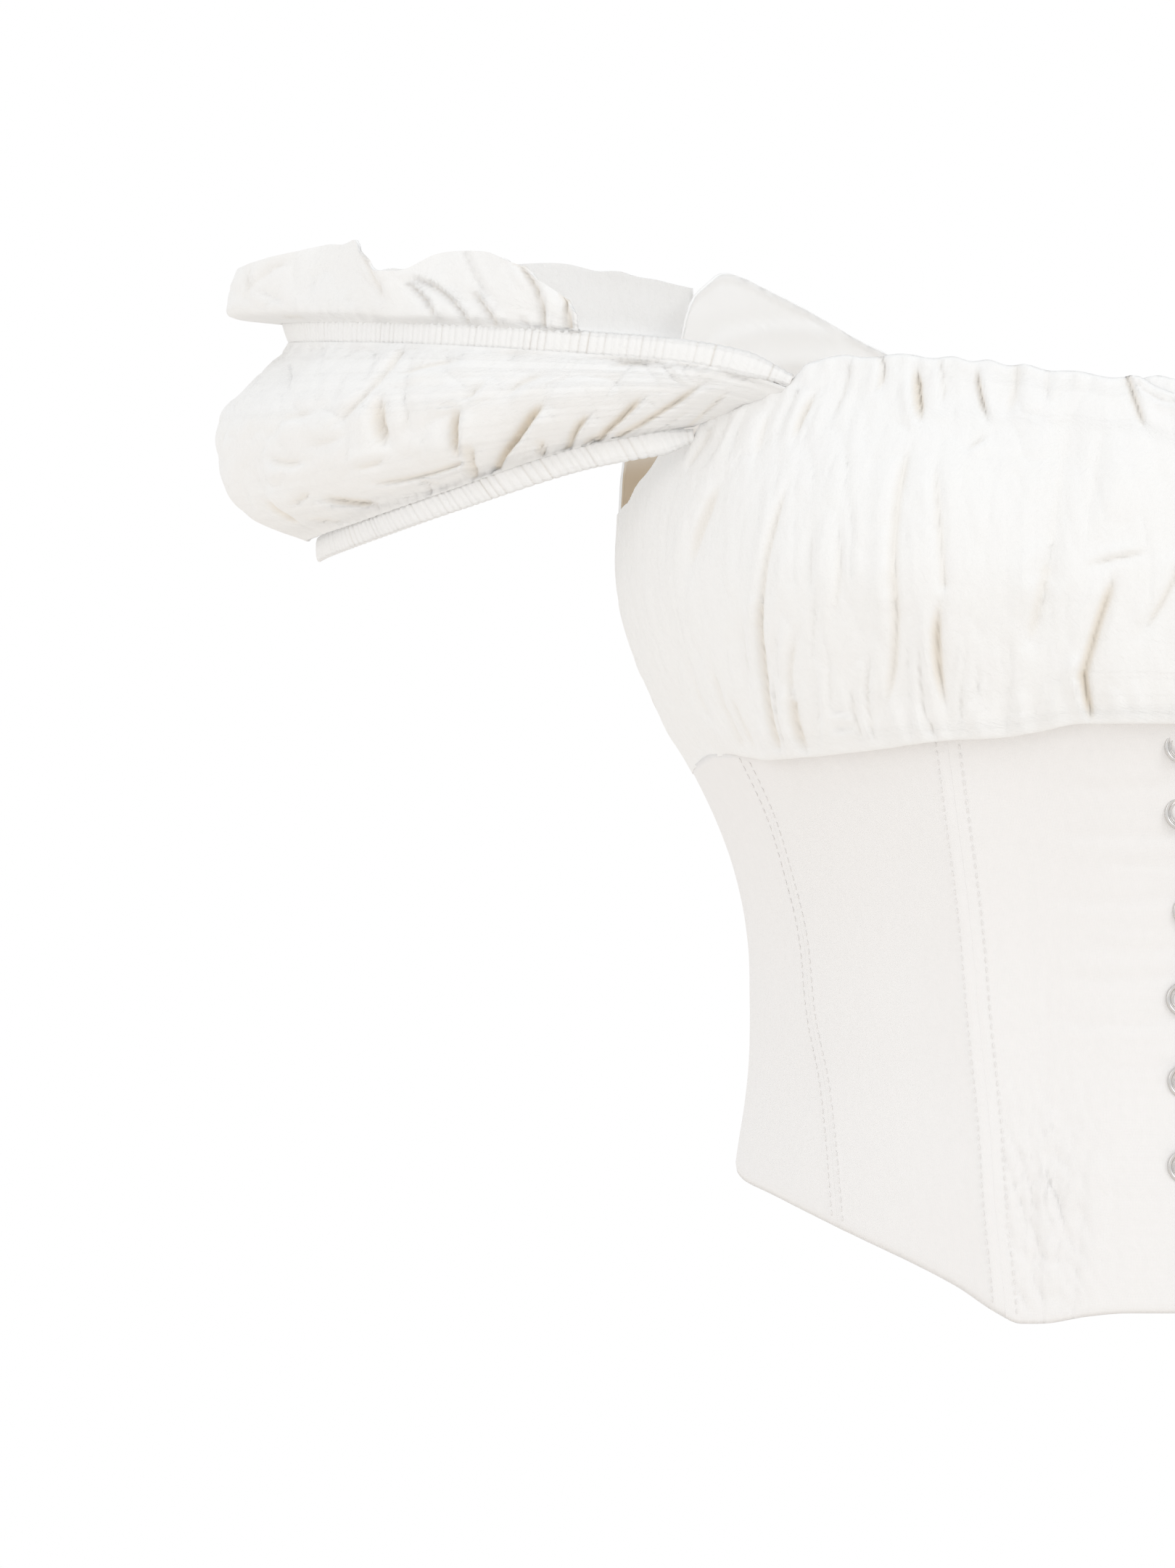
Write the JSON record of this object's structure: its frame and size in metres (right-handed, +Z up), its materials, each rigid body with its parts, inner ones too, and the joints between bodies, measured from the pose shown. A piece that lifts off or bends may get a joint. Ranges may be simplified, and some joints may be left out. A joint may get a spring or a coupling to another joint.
{
  "type": "bustier top",
  "caption": "Off-the-shoulder bustier top worn hollow: a gathered bust and elasticated puff sleeves with standing ruffles above a seamed corset closed with ring snaps.",
  "frame": {"origin": "middle of the wearer's waist, inside the corset at its narrowest height", "axes": "+X to the wearer's left and the longest way across both sleeves, +Y to the wearer's back and the shortest way, +Z up; the front faces -Y"},
  "size_m": [0.5474, 0.2119, 0.2975],
  "materials": {
    "corset_cotton": "plain weave, matt",
    "crinkled_cotton": "crinkled, matt",
    "silver_metal": "polished, rolled rim"
  },
  "bodies": {
    "root": {"front_centre_right": "corset_cotton", "front_centre_left": "corset_cotton", "front_side_right": "corset_cotton", "front_side_left": "corset_cotton", "side_right": "corset_cotton", "side_left": "corset_cotton", "back_side_right": "corset_cotton", "back_side_left": "corset_cotton", "back_centre": "corset_cotton", "bust_front_right": "crinkled_cotton", "bust_front_left": "crinkled_cotton", "bust_back": "crinkled_cotton", "sleeve_puff_right": "crinkled_cotton", "sleeve_puff_left": "crinkled_cotton", "sleeve_ruffle_right": "crinkled_cotton", "sleeve_ruffle_left": "crinkled_cotton", "sleeve_top_casing_right": "crinkled_cotton", "sleeve_top_casing_left": "crinkled_cotton", "sleeve_hem_casing_right": "crinkled_cotton", "sleeve_hem_casing_left": "crinkled_cotton", "ring_1": "silver_metal", "ring_2": "silver_metal", "ring_3": "silver_metal", "ring_4": "silver_metal", "ring_5": "silver_metal", "ring_6": "silver_metal"}
  },
  "joints": []
}
